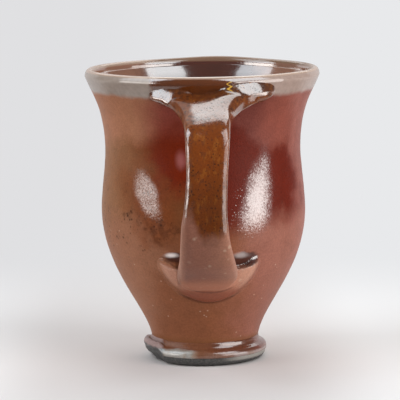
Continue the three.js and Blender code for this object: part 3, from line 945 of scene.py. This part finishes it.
# Table, light and camera, in metres but for the table's fades
studio = {
    "behind": 1.6, "front": 1.6, "halfWidth": 2.0, "backdrop": 1.0, "room": 0.08, "sky": tint(228, 229, 231),
    "cloth": tint(216, 209, 207), "clothLitAside": tint(240, 236, 235), "clothMiddle": -15, "aside": (40, 90),
    "glowLeft": tint(224, 224, 226), "glowRight": tint(232, 233, 235), "glowAcross": (-90, 90),
    "glow": (20, 280), "rear": (60, 240), "unlit": (90, 210),  # unlit table is seen by the camera alone
}
tableTop = Finish("paleTable")
away = tableTop.offAxis()
seen, mirrored = (tableTop.add("ShaderNodeLightPath", output=ray)
                  for ray in ("Is Camera Ray", "Is Glossy Ray"))
behind = tableTop.rise(tableTop.y, *studio["rear"])
unlit = tableTop.rise(away, *studio["unlit"]) * (1 - seen) * (1 - behind)
# painted light: the cloth is lighter to the sides, over the lamps' shadows there
aside = tableTop.rise(abs(tableTop.x - studio["clothMiddle"]), *studio["aside"])
cloth = tableTop.mix(aside, studio["cloth"], studio["clothLitAside"])
matt = tableTop.add("ShaderNodeBsdfDiffuse", links={"Color": cloth})
clear = tableTop.add("ShaderNodeBsdfTransparent")
surface = tableTop.add("ShaderNodeMixShader", links={"Fac": unlit, 1: matt, 2: clear})
glow = tableTop.mix(tableTop.rise(tableTop.x, *studio["glowAcross"]), studio["glowLeft"], studio["glowRight"])
bright = tableTop.add("ShaderNodeEmission", links={"Color": glow, "Strength": 1.0})
glowing = tableTop.rise(away, *studio["glow"]) * (seen + mirrored * behind)
mixed = tableTop.add("ShaderNodeMixShader", links={"Fac": glowing, 1: surface, 2: bright})
tableTop.add("ShaderNodeOutputMaterial", links={"Surface": mixed})

ground = bmesh.new()
bmesh.ops.create_grid(ground, x_segments=1, y_segments=1, size=1)
halfDepth, shift = (studio["behind"] + studio["front"]) / 2, (studio["behind"] - studio["front"]) / 2
bmesh.ops.scale(ground, vec=(studio["halfWidth"], halfDepth, 1), verts=ground.verts[:])
bmesh.ops.translate(ground, vec=(0, shift, 0), verts=ground.verts[:])
rear = [e for e in ground.edges if all(v.co.y > 0 for v in e.verts)]
raised = bmesh.ops.extrude_edge_only(ground, edges=rear)["geom"]
raised = [g for g in raised if isinstance(g, bmesh.types.BMVert)]
bmesh.ops.translate(ground, vec=(0, 0, studio["backdrop"]), verts=raised)
floorMesh = bpy.data.meshes.new("table")
ground.to_mesh(floorMesh)
ground.free()
floorMesh.materials.append(tableTop.material)
table = bpy.data.objects.new("table", floorMesh)
scene.collection.objects.link(table)

world = bpy.data.worlds.new("room")
scene.world = world
world.use_nodes = True
nodes, links = world.node_tree.nodes, world.node_tree.links
room, sky, which, light = (nodes["Background"], nodes.new("ShaderNodeBackground"),
                           nodes.new("ShaderNodeMixShader"), nodes.new("ShaderNodeLightPath"))
room.inputs["Color"].default_value, room.inputs["Strength"].default_value = (1, 1, 1, 1), studio["room"]
sky.inputs["Color"].default_value = studio["sky"]
links.new(light.outputs["Is Camera Ray"], which.inputs["Fac"])
links.new(room.outputs[0], which.inputs[1])
links.new(sky.outputs[0], which.inputs[2])
links.new(which.outputs[0], nodes["World Output"].inputs["Surface"])

warm = (1.0, 0.965, 0.93)
lampAim = Vector((0, 0, 0.07))
softboxes = [  # name, azimuth, elevation, distance, width, height, radiance, colour
    ("rightBox", 57, 0, 1.0, 0.97, 0.66, 4.35, warm),
    ("rightTall", 48, 42, 1.0, 0.69, 0.70, 3.6, (0.95, 1, 1.02)),
    ("leftBox", -68, 7, 1.0, 0.69, 0.38, 4.9, warm),
    ("leftTall", -72, 42, 1.0, 0.67, 0.70, 3.5, (0.9, 0.98, 1.04)),
    ("overBox", 178, 53, 1.2, 1.5, 1.1, 1.95, (0.97, 1, 1)),
]
for name, azimuth, elevation, distance, width, height, radiance, colour in softboxes:
    lamp = bpy.data.lights.new(name, "AREA")
    lamp.shape, lamp.size, lamp.size_y = "RECTANGLE", width, height
    lamp.energy, lamp.color = radiance * math.pi * width * height, colour
    holder = bpy.data.objects.new(name, lamp)
    swing, lift = math.radians(azimuth), math.radians(elevation)
    towards = Vector((math.sin(swing) * math.cos(lift), -math.cos(swing) * math.cos(lift), math.sin(lift)))
    holder.location = lampAim + towards * distance
    holder.rotation_euler = (-towards).to_track_quat("-Z", "Y").to_euler()
    scene.collection.objects.link(holder)

view = {
    "lens": 226.5, "sensor": 36, "away": 1.0, "height": 0.202,
    "azimuth": -1.2, "tilt": 7.89, "pan": 0.08, "roll": -0.7,
}
cameraData = bpy.data.cameras.new("camera")
cameraData.lens, cameraData.sensor_width = view["lens"], view["sensor"]
camera = bpy.data.objects.new("camera", cameraData)
swing = math.radians(view["azimuth"])
camera.location = (math.sin(swing) * view["away"], -math.cos(swing) * view["away"], view["height"])
camera.rotation_euler = (
    Matrix.Rotation(math.radians(view["azimuth"] + view["pan"]), 3, "Z")
    @ Matrix.Rotation(math.radians(90 - view["tilt"]), 3, "X")
    @ Matrix.Rotation(math.radians(view["roll"]), 3, "Z")).to_euler()
scene.collection.objects.link(camera)
scene.camera = camera
scene.view_settings.view_transform = "Standard"
print("camera and light set")

bpy.context.view_layer.update()
